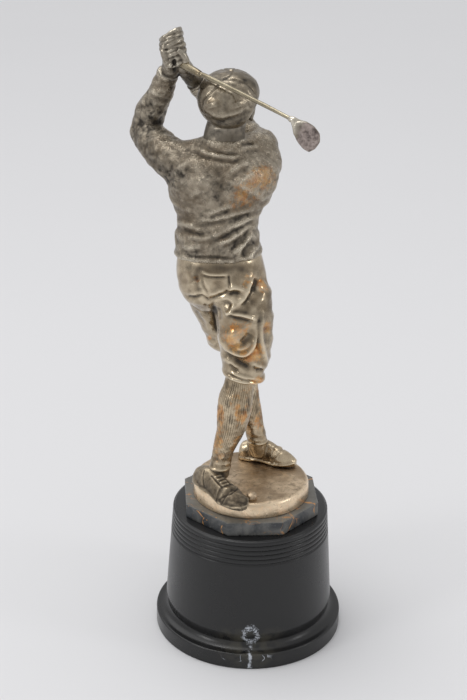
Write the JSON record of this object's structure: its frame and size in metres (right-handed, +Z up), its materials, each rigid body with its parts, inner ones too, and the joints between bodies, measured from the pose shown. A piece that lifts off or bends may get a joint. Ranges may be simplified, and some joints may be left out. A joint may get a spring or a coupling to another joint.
{
  "type": "figure trophy",
  "caption": "Cast golfer at the finish of a swing, in worn silver plate, on a round cast base, an octagonal stone slab and a flared, ribbed black plinth.",
  "frame": {"origin": "centre of the plinth's underside, on the surface that the trophy stands on", "axes": "+Z up; the figure's back faces -Y and its chest +Y"},
  "size_m": [0.1135, 0.1, 0.3204],
  "materials": {
    "bakelite": "satin black moulding",
    "stone": "honed, black with gold veins",
    "silver_plate": "worn silver plate with dark patina and copper showing",
    "steel": "plain",
    "bare_brass": "plain"
  },
  "bodies": {
    "root": {"plinth": "bakelite", "marble_slab": "stone", "figure_disc": "silver_plate", "right_lower_leg": "silver_plate", "left_lower_leg": "silver_plate", "breeches": "silver_plate", "torso": "silver_plate", "left_arm": "silver_plate", "right_arm": "silver_plate", "head": "silver_plate", "hands": "silver_plate", "club_shaft": "silver_plate", "club_head": "silver_plate", "tie_rod": "steel", "tie_washer": "steel", "tie_nut": "steel", "shoe_studs": "steel", "stud_washers": "steel", "stud_nuts": "steel", "waist_dowel": "bare_brass", "neck_dowel": "bare_brass", "shoulder_dowels": "bare_brass", "knee_dowels": "bare_brass", "wrist_dowels": "bare_brass"}
  },
  "joints": []
}
